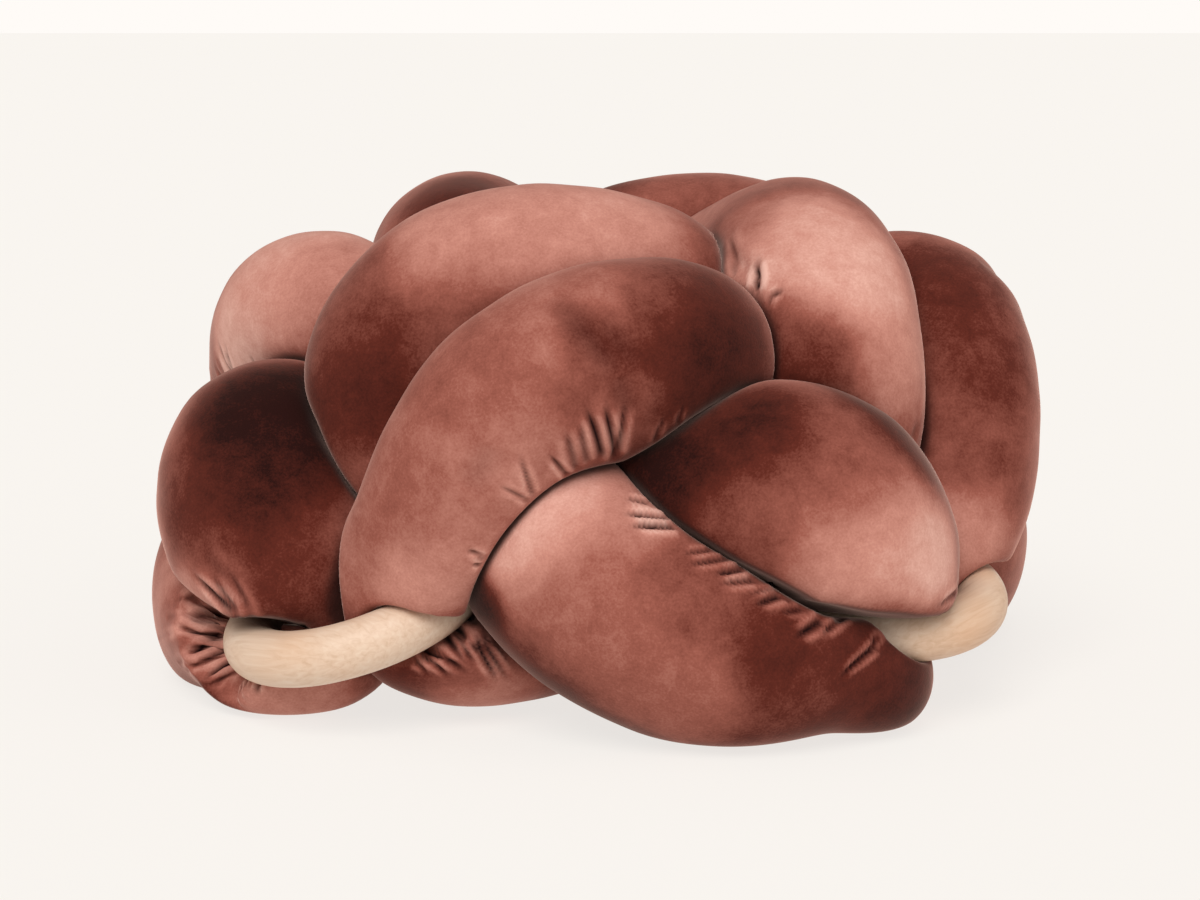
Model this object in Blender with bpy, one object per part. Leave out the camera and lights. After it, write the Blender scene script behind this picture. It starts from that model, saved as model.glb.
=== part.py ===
# Knot cushion: one stuffed velvet tube, closed on itself and knotted flat, held in
# four bends by plain wooden rings. Metres, +Z up, resting on z = 0, front towards -Y.
import bpy
import numpy as np
from mathutils import Matrix

# Rings
ring_count = 4
ring_centre_radius = 0.066  # middle of the wood's section, from the ring's own axis
ring_section_radius = 0.0165
ring_distance = 0.212  # ring centre from the cushion's axis
ring_heights = (0.065, 0.071, 0.066, 0.068)  # each ring settles a little differently
ring_tilts = (18, 9, 13, 12)  # degrees, outer side down
ring_roll = 6.0  # degrees, left end down, seen from outside
ring_steps_round = 26
ring_steps_section = 8
ring_names = ("ring_front_left", "ring_front_right", "ring_back_right", "ring_back_left")

# Layout about the vertical axis, as seen from above, in degrees from the front
first_ring_angle = -41.5
ring_spread = 1.8  # the front and back pairs of rings stand a little wider than square
ring_spread_phase = 3.5
lean = 0.05  # the whole knot leans to the right, by this much sideways for each metre up
lean_base = 0.05
crown_turn = (0, -10, -16, 0)  # the back two crown lobes lie a little further round
crown_rows = {6: 0.3, 7: 0.6, 8: 0.5, 9: 0.3, 10: 0.3, 11: 0.5, 12: 1, 13: 1, 14: 1, 15: 1, 16: 0.5}
back_settle = 0.18  # share of its height that the back loses for each metre

# Tube
section_steps = 16  # points round the tube
steps_per_row = 2  # sections between two rows of the route
guides_per_step = 4  # centreline points for each section, from which neighbours are measured
cloth_gap = 0.003  # each side keeps this much from the surface halfway to its neighbour
ring_seat_gap = 0.0003
ring_press = 0.0015  # how far the wood would sink in before the seat is cut
least_reach = 0.005  # thinnest half width, in the creases inside tight bends
bend_limit = 0.92  # share of the bend radius that the inner side may take
near_limit = 0.94
near_reach = 1.7  # stretches closer than this many radii along the tube are one bend
skip_reach = 0.012
sight = 0.245  # neighbours further off than this never touch

# One quarter of the route, from one ring to the next. Each of the four quarters is
# the same, turned by a quarter turn, and the last row leads into the next quarter.
route = (
    # turn past the ring, distance from axis, height, free radius of the tube
    (32, 0.134, 0.056, 0.046),  # outward along the floor to the ring
    (19, 0.178, 0.052, 0.044),
    (10, 0.214, 0.076, 0.046),  # up through the ring's right half
    (17, 0.229, 0.120, 0.051),
    (26, 0.219, 0.188, 0.054),  # arch that rises outside
    (42, 0.191, 0.219, 0.058),
    (58, 0.158, 0.214, 0.051),
    (73, 0.130, 0.188, 0.047),
    (98, 0.108, 0.144, 0.042),  # hidden link through the core
    (136, 0.074, 0.114, 0.041),
    (170, 0.060, 0.128, 0.047),
    (184, 0.052, 0.168, 0.058),
    (168, 0.064, 0.214, 0.056),  # crown lobe, from the middle outward
    (137, 0.094, 0.243, 0.061),
    (105, 0.124, 0.246, 0.066),
    (90, 0.154, 0.226, 0.065),
    (88, 0.174, 0.176, 0.061),  # down under the next arch
    (98, 0.164, 0.132, 0.056),
    (120, 0.182, 0.113, 0.064),
    (137, 0.212, 0.078, 0.067),  # low lobe between two rings
    (152, 0.236, 0.054, 0.058),
    (163, 0.250, 0.043, 0.041),
    (171, 0.246, 0.031, 0.035),  # under the ring's left end
    (176, 0.219, 0.042, 0.038),
    (172, 0.220, 0.081, 0.056),  # up through the ring's left half
    (167, 0.231, 0.107, 0.066),
    (160, 0.230, 0.136, 0.068),  # shoulder above the low lobe
    (147, 0.186, 0.133, 0.060),
    (134, 0.148, 0.098, 0.052),  # back inward and down
    (127, 0.132, 0.064, 0.048),
)


def compass(turn):
    """Unit vectors outward and sideways at a turn from the front, in degrees."""
    angle = np.radians(turn + ring_spread * np.sin(np.radians(2 * (turn - ring_spread_phase))))
    sine, cosine = np.sin(angle), np.cos(angle)
    return np.array([sine, -cosine, 0.0]), np.array([cosine, sine, 0.0])


def route_rows():
    """Centre and free radius of the tube at every row of all four quarters."""
    centres, radii = [], []
    for quarter in range(ring_count):
        for row, (turn, distance, height, radius) in enumerate(route):
            turn = turn + crown_turn[quarter] * crown_rows.get(row, 0)
            out, _ = compass(first_ring_angle + 90 * quarter + turn)
            height = height * (1 - back_settle * max(out[1] * distance, 0))
            shift = lean * (height - lean_base)
            centres.append(out * distance + np.array([shift, 0.0, height]))
            radii.append(radius)
    return np.array(centres), np.array(radii)


def closed_spline(knots, values):
    """Second derivatives of the closed cubic spline through values."""
    count = len(values)
    gaps = np.diff(knots)
    steps = np.diff(np.vstack([values, values[:1]]), axis=0) / gaps[:, None]
    matrix = np.zeros((count, count))
    right = np.zeros_like(values)
    for i in range(count):
        before, after = gaps[i - 1], gaps[i]
        matrix[i, i - 1] += before
        matrix[i, i] += 2 * (before + after)
        matrix[i, (i + 1) % count] += after
        right[i] = 6 * (steps[i] - steps[i - 1])
    return np.linalg.solve(matrix, right)


def read_spline(knots, values, bends, places):
    """Values of the closed spline at places along it."""
    count = len(values)
    left = np.clip(np.searchsorted(knots, places, side="right") - 1, 0, count - 1)
    after = (left + 1) % count
    width = (knots[left + 1] - knots[left])[:, None]
    far = (places - knots[left])[:, None] / width
    near = 1 - far
    curve = (near**3 - near) * bends[left] + (far**3 - far) * bends[after]
    return near * values[left] + far * values[after] + curve * width**2 / 6


def along_tube(rows_between):
    """Centre, radius and distance along the tube, evenly between the rows."""
    centres, radii = route_rows()
    values = np.column_stack([centres, radii])
    hops = np.linalg.norm(np.diff(np.vstack([centres, centres[:1]]), axis=0), axis=1)
    knots = np.concatenate([[0.0], np.cumsum(np.sqrt(hops))])
    bends = closed_spline(knots, values)
    share = np.arange(rows_between) / rows_between
    places = (knots[:-1, None] + np.diff(knots)[:, None] * share).ravel()
    read = read_spline(knots, values, bends, places)
    points, widths = read[:, :3], read[:, 3]
    hops = np.linalg.norm(np.roll(points, -1, axis=0) - points, axis=1)
    distance = np.concatenate([[0.0], np.cumsum(hops)[:-1]])
    return points, widths, distance, hops.sum()


def tube_frames(points):
    """Directions along and across the tube that don't twist, and meet at the end."""
    count = len(points)
    along = np.roll(points, -1, axis=0) - np.roll(points, 1, axis=0)
    along /= np.linalg.norm(along, axis=1)[:, None]
    side = np.zeros_like(along)
    start = np.cross(along[0], [0.0, 0.0, 1.0])
    side[0] = start / np.linalg.norm(start)
    for i in range(1, count):
        carried = side[i - 1] - along[i] * (side[i - 1] @ along[i])
        side[i] = carried / np.linalg.norm(carried)
    closing = side[-1] - along[0] * (side[-1] @ along[0])
    twist = np.arctan2(np.cross(closing, side[0]) @ along[0], closing @ side[0])
    turn = (twist * np.arange(count) / count)[:, None]
    side = side * np.cos(turn) + np.cross(along, side) * np.sin(turn)
    return along, side, np.cross(along, side)


def ring_frame(index):
    """Centre of a ring, and its outward, sideways and upward directions."""
    out, across = compass(first_ring_angle + 90 * index)
    centre = out * ring_distance + np.array([0.0, 0.0, ring_heights[index]])
    tilt, roll = np.radians(ring_tilts[index]), np.radians(ring_roll)
    sideways = across * np.cos(roll) + np.array([0.0, 0.0, np.sin(roll)])
    outward = out * np.cos(tilt) - np.array([0.0, 0.0, np.sin(tilt)])
    outward -= sideways * (outward @ sideways)
    outward /= np.linalg.norm(outward)
    return centre, outward, sideways, np.cross(outward, sideways)


def neighbour_limit(start, reach, widths, distance, length, guides):
    """How far each ray may go before it meets the next stretch of the tube."""
    guide_points, guide_widths, guide_distance = guides
    limit = np.full(reach.shape[:2], np.inf)
    for i, origin in enumerate(start):
        offset = guide_points - origin
        square = (offset**2).sum(axis=1)
        apart = np.abs(guide_distance - distance[i])
        apart = np.minimum(apart, length - apart)
        use = (apart > skip_reach) & (square < sight**2)
        facing = reach[i] @ offset[use].T
        one_bend = apart[use] < near_reach * (widths[i] + guide_widths[use])
        power = (square[use] + widths[i] ** 2 - guide_widths[use] ** 2) / 2
        halfway = np.where(one_bend, near_limit * square[use] / 2, power)
        halfway = np.maximum(halfway, 1e-5)
        met = np.where(facing > 1e-6, halfway / np.maximum(facing, 1e-6), np.inf)
        limit[i] = met.min(axis=1) - cloth_gap
    return limit


def ring_limit(start, reach, stand_off):
    """How far each ray may go before it meets a ring's wood."""
    limit = np.full(reach.shape[:2], np.inf)
    turns = np.radians(np.arange(0, 360, 5))[:, None]
    for index in range(ring_count):
        centre, outward, sideways, _ = ring_frame(index)
        circle = centre + ring_centre_radius * (np.cos(turns) * outward + np.sin(turns) * sideways)
        for i in np.where(np.linalg.norm(start - centre, axis=1) < 0.2)[0]:
            offset = circle - start[i]
            facing = reach[i] @ offset.T
            inside = facing**2 - (offset**2).sum(axis=1) + stand_off**2
            hit = (inside > 0) & (facing > 0)
            met = np.where(hit, facing - np.sqrt(np.maximum(inside, 0)), np.inf)
            limit[i] = np.minimum(limit[i], met.min(axis=1))
    return limit


def tube_sections():
    """Points of every section, pressed against the floor, the rings and the tube itself."""
    guide_points, guide_widths, guide_distance, length = along_tube(steps_per_row * guides_per_step)
    guides = (guide_points, guide_widths, guide_distance)
    start, widths, distance = (values[::guides_per_step] for values in guides)
    along, side, up = tube_frames(start)
    angles = np.arange(section_steps) * 2 * np.pi / section_steps
    reach = side[:, None] * np.cos(angles)[:, None] + up[:, None] * np.sin(angles)[:, None]
    free = np.repeat(widths[:, None], section_steps, axis=1)
    ahead = np.linalg.norm(np.roll(start, -1, axis=0) - np.roll(start, 1, axis=0), axis=1)
    bend = (np.roll(along, -1, axis=0) - np.roll(along, 1, axis=0)) / ahead[:, None]
    inward = np.einsum("ij,imj->im", bend, reach)
    free = np.minimum(free, bend_limit / np.maximum(inward, 1e-3))
    free = np.minimum(free, neighbour_limit(start, reach, widths, distance, length, guides))
    down = -reach[:, :, 2]
    floor = start[:, 2][:, None] / np.maximum(down, 1e-6)
    free = np.minimum(free, np.where(down > 1e-6, floor, np.inf))
    free = np.minimum(free, ring_limit(start, reach, ring_section_radius - ring_press))
    free = np.maximum(free, least_reach)
    return start[:, None] + reach * free[:, :, None]


def make_material(name, colour, roughness):
    material = bpy.data.materials.new(name)
    material.use_nodes = True
    shader = material.node_tree.nodes["Principled BSDF"]
    shader.inputs["Base Color"].default_value = (*colour, 1.0)
    shader.inputs["Roughness"].default_value = roughness
    shader.inputs["Metallic"].default_value = 0.0
    return material


def add_object(name, mesh, collection):
    item = bpy.data.objects.new(name, mesh)
    collection.objects.link(item)
    return item


def make_tube(collection, velvet):
    """The tube as one closed loft through its unlike sections."""
    sections = tube_sections()
    count = len(sections)
    points = sections.reshape(-1, 3)
    points[np.abs(points[:, 2]) < 1e-6, 2] = 0.0
    faces = []
    for i in range(count):
        here, there = i * section_steps, (i + 1) % count * section_steps
        for j in range(section_steps):
            k = (j + 1) % section_steps
            faces.append((here + j, here + k, there + k))
            faces.append((here + j, there + k, there + j))
    mesh = bpy.data.meshes.new("knot_tube")
    mesh.from_pydata(points.tolist(), [], faces)
    mesh.shade_smooth()
    mesh.materials.append(velvet)
    return add_object("knot_tube", mesh, collection)


def make_torus(name, section_radius, index):
    """A turned ring at its place among the bends."""
    bpy.ops.mesh.primitive_torus_add(
        major_segments=ring_steps_round,
        minor_segments=ring_steps_section,
        major_radius=ring_centre_radius,
        minor_radius=section_radius,
    )
    ring = bpy.context.object
    ring.name = name
    ring.data.name = name
    centre, outward, sideways, upward = ring_frame(index)
    turned = np.eye(4)
    turned[:3] = np.column_stack([outward, sideways, upward, centre])
    ring.matrix_world = Matrix(turned)
    for owner in list(ring.users_collection):
        owner.objects.unlink(ring)
    return ring


def cut_seat(tube, index, cutters):
    """The hollow that a ring presses into the cloth."""
    cutter = make_torus(f"seat_cutter_{index + 1}", ring_section_radius + ring_seat_gap, index)
    cutters.objects.link(cutter)
    cutter.hide_render = True
    cutter.display_type = "WIRE"
    cut = tube.modifiers.new(f"Ring seat {index + 1}", "BOOLEAN")
    cut.operation = "DIFFERENCE"
    cut.solver = "EXACT"
    cut.object = cutter


def main():
    for item in list(bpy.data.objects):
        bpy.data.objects.remove(item, do_unlink=True)
    scene = bpy.context.scene
    cushion = bpy.data.collections.new("Knot cushion")
    cutters = bpy.data.collections.new("Cutters")
    scene.collection.children.link(cushion)
    scene.collection.children.link(cutters)
    velvet = make_material("Rose velvet", (0.393, 0.150, 0.117), 0.85)
    wood = make_material("Pale wood", (0.787, 0.578, 0.392), 0.5)
    tube = make_tube(cushion, velvet)
    for index, name in enumerate(ring_names):
        ring = make_torus(name, ring_section_radius, index)
        ring.data.materials.append(wood)
        ring.data.shade_smooth()
        cushion.objects.link(ring)
        cut_seat(tube, index, cutters)


main()
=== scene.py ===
import bpy
import numpy as np
from mathutils import Matrix, Vector, noise
from mathutils.bvhtree import BVHTree


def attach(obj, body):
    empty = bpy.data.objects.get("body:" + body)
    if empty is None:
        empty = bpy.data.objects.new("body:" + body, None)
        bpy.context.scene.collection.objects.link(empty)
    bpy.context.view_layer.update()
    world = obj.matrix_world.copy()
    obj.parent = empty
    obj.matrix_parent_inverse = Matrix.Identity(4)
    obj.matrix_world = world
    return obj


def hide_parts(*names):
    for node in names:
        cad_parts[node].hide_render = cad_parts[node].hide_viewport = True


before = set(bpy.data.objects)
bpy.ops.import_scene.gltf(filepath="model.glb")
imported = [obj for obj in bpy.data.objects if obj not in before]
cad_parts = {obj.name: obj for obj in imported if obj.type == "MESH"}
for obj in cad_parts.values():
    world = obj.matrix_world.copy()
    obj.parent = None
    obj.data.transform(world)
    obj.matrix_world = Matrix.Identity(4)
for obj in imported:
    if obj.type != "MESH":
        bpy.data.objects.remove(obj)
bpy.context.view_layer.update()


# Knot: where the stuffed tube goes, the same route as the solid it replaces
knot = {
    "firstRing": -41.5,  # degrees from the front
    "ringSpread": 1.8,
    "spreadPhase": 3.5,
    "lean": 0.05,
    "leanBase": 0.05,
    "crownTurn": (0, -10, -16, 0),  # the back two crown lobes lie a little further round
    "crownRows": {6: 0.3, 7: 0.6, 8: 0.5, 9: 0.3, 10: 0.3, 11: 0.5, 12: 1, 13: 1, 14: 1, 15: 1, 16: 0.5},
    "backSettle": 0.18,  # height lost for each metre towards the back
}
knotMiddle = np.array([0.0, 0.0, 0.11])
noLimit = 9.0  # metres, further than any cloth reaches
seedSteps = (13.7, 7.3, 3.1)  # how far apart the noises of two seeds are read
route = (
    # turn past the ring, distance from axis, height, free radius
    (32, 0.134, 0.056, 0.046),  # along the floor to the ring
    (19, 0.178, 0.052, 0.044),
    (10, 0.214, 0.076, 0.046),  # up through the ring's right half
    (17, 0.229, 0.120, 0.051),
    (26, 0.219, 0.188, 0.054),  # arch outside
    (42, 0.191, 0.219, 0.058),
    (58, 0.158, 0.214, 0.051),
    (73, 0.130, 0.188, 0.047),
    (98, 0.108, 0.144, 0.042),  # hidden link
    (136, 0.074, 0.114, 0.041),
    (170, 0.060, 0.128, 0.047),
    (184, 0.052, 0.168, 0.058),
    (168, 0.064, 0.214, 0.056),  # crown lobe
    (137, 0.094, 0.243, 0.061),
    (105, 0.124, 0.246, 0.066),
    (90, 0.154, 0.226, 0.065),
    (88, 0.174, 0.176, 0.061),  # under the next arch
    (98, 0.164, 0.132, 0.056),
    (120, 0.182, 0.113, 0.064),
    (137, 0.212, 0.078, 0.067),  # low lobe
    (152, 0.236, 0.054, 0.058),
    (163, 0.250, 0.043, 0.041),
    (171, 0.246, 0.031, 0.035),  # under the ring's left end
    (176, 0.219, 0.042, 0.038),
    (172, 0.220, 0.081, 0.056),  # up through the ring's left half
    (167, 0.231, 0.107, 0.066),
    (160, 0.230, 0.136, 0.068),  # shoulder
    (147, 0.186, 0.133, 0.060),
    (134, 0.148, 0.098, 0.052),
    (127, 0.132, 0.064, 0.048),
)
rings = {
    "names": ("ring_front_left", "ring_front_right", "ring_back_right", "ring_back_left"),
    "heights": (0.065, 0.071, 0.066, 0.068),
    "tilts": (18, 9, 13, 12),
    "distance": 0.212,
    "radius": 0.066,
    "section": 0.0165,
    "roll": 6.0,
}


def compass(turn):
    swing = knot["ringSpread"] * np.sin(np.radians(2 * (turn - knot["spreadPhase"])))
    angle = np.radians(turn + swing)
    sine, cosine = np.sin(angle), np.cos(angle)
    return np.array([sine, -cosine, 0.0]), np.array([cosine, sine, 0.0])


def ringFrame(index):
    out, across = compass(knot["firstRing"] + 90 * index)
    centre = out * rings["distance"] + np.array([0.0, 0.0, rings["heights"][index]])
    tilt, roll = np.radians(rings["tilts"][index]), np.radians(rings["roll"])
    sideways = across * np.cos(roll) + np.array([0.0, 0.0, np.sin(roll)])
    outward = out * np.cos(tilt) - np.array([0.0, 0.0, np.sin(tilt)])
    outward -= sideways * (outward @ sideways)
    outward /= np.linalg.norm(outward)
    return centre, outward, sideways, np.cross(outward, sideways)


def routeRows():
    rows = []
    for quarter in range(4):
        for row, (turn, distance, height, radius) in enumerate(route):
            turn = turn + knot["crownTurn"][quarter] * knot["crownRows"].get(row, 0)
            out, _ = compass(knot["firstRing"] + 90 * quarter + turn)
            height = height * (1 - knot["backSettle"] * max(out[1] * distance, 0))
            shift = knot["lean"] * (height - knot["leanBase"])
            x, y, z = out * distance + np.array([shift, 0.0, height])
            rows.append((x, y, z, radius))
    return np.array(rows)


def softMin(a, b, reach):  # the smaller of two, with the corner between them rounded
    share = np.clip(0.5 + 0.5 * (b - a) / reach, 0, 1)
    return b * (1 - share) + a * share - reach * share * (1 - share)


def smoothStep(low, high, value):
    share = np.clip((value - low) / (high - low), 0, 1)
    return share * share * (3 - 2 * share)


def closedSpline(knots, values):  # second derivatives of the closed cubic spline
    count = len(values)
    gaps = np.diff(knots)
    steps = np.diff(np.vstack([values, values[:1]]), axis=0) / gaps[:, None]
    matrix = np.zeros((count, count))
    right = np.zeros_like(values)
    for i in range(count):
        before, after = gaps[i - 1], gaps[i]
        matrix[i, i - 1] += before
        matrix[i, i] += 2 * (before + after)
        matrix[i, (i + 1) % count] += after
        right[i] = 6 * (steps[i] - steps[i - 1])
    return np.linalg.solve(matrix, right)


def readSpline(knots, values, bends, places):
    count = len(values)
    left = np.clip(np.searchsorted(knots, places, side="right") - 1, 0, count - 1)
    after = (left + 1) % count
    width = (knots[left + 1] - knots[left])[:, None]
    far = (places - knots[left])[:, None] / width
    near = 1 - far
    curve = (near**3 - near) * bends[left] + (far**3 - far) * bends[after]
    return near * values[left] + far * values[after] + curve * width**2 / 6


def makeCentreline(front, back, core):  # spacing of the sections at the front, at the back and in the core
    rows = routeRows()
    hops = np.linalg.norm(np.diff(np.vstack([rows, rows[:1]])[:, :3], axis=0), axis=1)
    knots = np.concatenate([[0.0], np.cumsum(np.sqrt(hops))])
    bends = closedSpline(knots, rows)
    places = np.linspace(0, knots[-1], tube["traceSteps"] + 1)
    dense = readSpline(knots, rows, bends, places[:-1])
    hops = np.linalg.norm(np.roll(dense, -1, axis=0)[:, :3] - dense[:, :3], axis=1)
    spacing = front + (back - front) * smoothStep(*tube["frontToBack"], dense[:, 1])
    hidden = 1 - smoothStep(*tube["coreAcross"], np.hypot(dense[:, 0], dense[:, 1]))
    hidden = hidden * (1 - smoothStep(*tube["coreHeight"], dense[:, 2]))
    spacing = spacing + (core - spacing) * hidden
    travelled = np.concatenate([[0.0], np.cumsum(hops / spacing)])
    count = int(round(travelled[-1]))
    stops = np.linspace(0, travelled[-1], count, endpoint=False)
    picked = np.interp(stops, travelled, places)
    read = readSpline(knots, rows, bends, picked)
    distance = np.interp(picked, places, np.concatenate([[0.0], np.cumsum(hops)]))
    rowPlace = np.interp(picked, knots, np.arange(len(knots)))
    return read[:, :3], read[:, 3], distance, hops.sum(), rowPlace


def tubeFrames(points):
    count = len(points)
    along = np.roll(points, -1, axis=0) - np.roll(points, 1, axis=0)
    along /= np.linalg.norm(along, axis=1)[:, None]
    side = np.zeros_like(along)
    start = np.cross(along[0], [0.0, 0.0, 1.0])
    side[0] = start / np.linalg.norm(start)
    for i in range(1, count):
        carried = side[i - 1] - along[i] * (side[i - 1] @ along[i])
        side[i] = carried / np.linalg.norm(carried)
    closing = side[-1] - along[0] * (side[-1] @ along[0])
    twist = np.arctan2(np.cross(closing, side[0]) @ along[0], closing @ side[0])
    turn = (twist * np.arange(count) / count)[:, None]
    side = side * np.cos(turn) + np.cross(along, side) * np.sin(turn)
    return along, side, np.cross(along, side)


# Stuffed velvet tube
tube = {
    "spacing": {"front": 0.0017, "back": 0.0034, "core": 0.0070},  # of the mesh along the tube
    "around": 162,
    "frontToBack": (-0.04, 0.08),  # where the mesh grows coarser, towards the back
    "coreAcross": (0.085, 0.115),  # nearer the middle than this, and lower than the next, nothing shows
    "coreHeight": (0.16, 0.19),
    "traceSteps": 24000,
    "outerShare": 0.45,  # how much denser the mesh is on the outside
    "guideSpacing": 0.007,
    "clothGap": 0.0006,
    "nextTo": 0.012,  # closer along the tube than this isn't another loop
    "contactSquare": 0.06,  # square metres: loops whose middles are further apart don't meet
    "oneBend": 1.7,  # as many radii along the tube count as inside one bend
    "bendShare": 0.49,  # of the way to the next loop, inside one bend
    "bendFill": 0.92,  # of a bend's inner radius that the filling may take
    "sag": (0.12, 0.12, 0.25, 0.13),  # more of it for each quarter's shoulder, as its filling hangs
    "sagHeight": 0.05,  # how far above the other loop it hangs fully
    "sagYield": 0.4,  # how much of that the loop under it gives
    "sagRows": (22.5, 24.0, 28.0, 29.5),  # where a shoulder starts, is full, starts to end and ends
    "hang": 0.16,  # how far a shoulder bulges down onto its ring
    "fills": (
        # row, counted through all four quarters, rows wide, fuller all round, to the outside, downwards
        (1.5, 0.5, 0.06, 0.04, 0.0),  # front arch's foot, inside the left ring and above it
        (2.7, 1.0, -0.04, -0.34, 0.0),
        (11.4, 0.6, 0.07, -0.07, 0.0),  # crown lobes where all four meet
        (41.4, 0.6, 0.07, -0.07, 0.0),
        (71.4, 0.6, 0.07, -0.07, 0.0),
        (101.4, 0.6, 0.07, -0.07, 0.0),
        (79.8, 1.1, 0.02, -0.03, 0.35),  # low lobe at the left, pressed down on the floor
        (19.4, 0.8, 0.0, 0.0, 0.2),  # tip of the front low lobe
        (23.7, 0.7, 0.10, 0.30, 0.0),  # shoulders where they come up through the back rings
        (53.7, 0.7, 0.10, 0.30, 0.0),
        (83.7, 0.7, 0.10, 0.30, 0.0),
        (114.2, 0.9, 0.06, 0.0, 0.0),  # right shoulder
    ),
    "shoulder": 0.0065,  # how softly a lobe turns into the crease beside it
    "ringShoulder": 0.005,
    "ringGap": 0.0008,
    "ringStep": 4,  # degrees between the points that stand for a ring
    "ringReach": 0.2,
    "floorShoulder": 0.010,
    "least": 0.005,
    "smoothing": 7,
    "slackRows": (45.0, 75.0),  # crown lobes of the back, where slack cloth bridges the inside of the bend
    "slackWidth": 0.5,
    "slackFacing": (0.25, 0.45),  # only cloth that faces away from the middle
    "slackSmoothing": 120,
    "fillYield": 0.25,  # how far a fuller loop pushes the ones beside it back
    "lumps": 0.0022,  # uneven filling
    "lumpSize": 0.07,
    "fineLumps": 0.0007,
    "fineLumpSize": 0.028,
    "calmHeight": 0.012,  # no lumps or pleats nearer the floor than this
    "gatherDepth": 0.0012,
    "gatherPitch": 0.0125,
    "gatherFrom": (0.34, 0.80),  # how far a bend has to bunch the cloth
    "gatherWander": (5.0, 0.045),  # radians, and over what size
    "gatherUneven": (0.6, 0.9, 0.05),  # mean strength, how much it varies, and over what size
    "touchWidth": (0.0002, 0.0028),  # how far from the next loop the painted shade of a crease goes
    "touchShade": 0.85,
    "slackShade": 0.8,  # how much of it the slack cloth hides
}


def shoulderShare(rowPlace):  # 1 in the middle of a shoulder, 0 away from it
    row = rowPlace % len(route)
    return smoothStep(*tube["sagRows"][:2], row) * (1 - smoothStep(*tube["sagRows"][2:], row))


def shoulderSag(rowPlace):
    quarter = (rowPlace // len(route)).astype(int) % 4
    return shoulderShare(rowPlace) * np.array(tube["sag"])[quarter]


def fullness(rowPlace):  # how fat a loop counts where it meets another
    share = np.ones(len(rowPlace))
    for row, wide, allRound, outer, _ in tube["fills"]:
        near = np.exp(-(((rowPlace - row) / wide) ** 2))
        share = share + near * (allRound + tube["fillYield"] * outer)
    return share


def contactLimit(points, reach, radii, distance, length, sag):
    guides = makeCentreline(*[tube["guideSpacing"]] * 3)
    guidePoints, guideDistance = guides[0], guides[2]
    guideRadii = guides[1] * fullness(guides[4])
    guideSag = shoulderSag(guides[4]) * tube["sagYield"]
    limit = np.full(reach.shape[:2], noLimit)
    for i, origin in enumerate(points):
        offset = guidePoints - origin
        square = (offset**2).sum(axis=1)
        apart = np.abs(guideDistance - distance[i])
        apart = np.minimum(apart, length - apart)
        use = (apart > tube["nextTo"]) & (square < tube["contactSquare"])
        facing = reach[i] @ offset[use].T
        oneBend = apart[use] < tube["oneBend"] * (radii[i] + guideRadii[use])
        power = (square[use] + radii[i] ** 2 - guideRadii[use] ** 2) / 2
        above = np.clip((origin[2] - guidePoints[use, 2]) / tube["sagHeight"], -1, 1)
        more = np.where(above > 0, sag[i], guideSag[use]) * above
        within = (tube["bendShare"] + more) * square[use]
        halfway = np.maximum(np.where(oneBend, within, power), 1e-5)
        met = np.where(facing > 1e-6, halfway / np.maximum(facing, 1e-6), noLimit)
        limit[i] = met.min(axis=1) - tube["clothGap"]
    return limit


def ringLimit(points, reach):
    limit = np.full(reach.shape[:2], noLimit)
    turns = np.radians(np.arange(0, 360, tube["ringStep"]))[:, None]
    ringSize = rings["section"] + tube["ringGap"]
    for index in range(4):
        centre, outward, sideways, _ = ringFrame(index)
        circle = centre + rings["radius"] * (np.cos(turns) * outward + np.sin(turns) * sideways)
        for i in np.where(np.linalg.norm(points - centre, axis=1) < tube["ringReach"])[0]:
            offset = circle - points[i]
            facing = reach[i] @ offset.T
            inside = facing**2 - (offset**2).sum(axis=1) + ringSize**2
            hit = (inside > 0) & (facing > 0)
            met = np.where(hit, facing - np.sqrt(np.maximum(inside, 0)), noLimit)
            limit[i] = np.minimum(limit[i], met.min(axis=1))
    return limit


def gridNormals(grid):
    down = np.roll(grid, -1, axis=0) - np.roll(grid, 1, axis=0)
    across = np.roll(grid, -1, axis=1) - np.roll(grid, 1, axis=1)
    normal = np.cross(across, down)
    size = np.linalg.norm(normal, axis=2)
    return normal / np.maximum(size, 1e-12)[:, :, None]


def blur(grid, passes, weight=0.5):
    for _ in range(passes):
        around = np.roll(grid, 1, axis=0) + np.roll(grid, -1, axis=0)
        around = around + np.roll(grid, 1, axis=1) + np.roll(grid, -1, axis=1)
        grid = grid * (1 - weight) + around * weight / 4
    return grid


def bridgeBends(grid, rowPlace, reach):  # and how much each point was bridged
    outward = grid - knotMiddle
    outward /= np.linalg.norm(outward, axis=2)[:, :, None]
    facing = smoothStep(*tube["slackFacing"], (reach * outward).sum(axis=2))
    bridged = np.zeros(grid.shape[:2])
    for row in tube["slackRows"]:
        near = np.where(np.abs(rowPlace - row) < 4 * tube["slackWidth"])[0]  # nothing moves beyond this
        share = np.exp(-(((rowPlace[near] - row) / tube["slackWidth"]) ** 2))[:, None] * facing[near]
        part = grid[near]
        for _ in range(tube["slackSmoothing"]):
            part = part + (blur(part, 1) - part) * share[:, :, None]
        inside = slice(2, -2)  # the block's own ends aren't neighbours
        grid[near[inside]] = part[inside]
        bridged[near] = share
    return grid, bridged


def noiseAt(grid, size, seed):
    shift = Vector([seed * step for step in seedSteps])
    flat = grid.reshape(-1, 3) / size
    values = [noise.noise(Vector(point) + shift) for point in flat]
    return np.array(values).reshape(grid.shape[:2])


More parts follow.
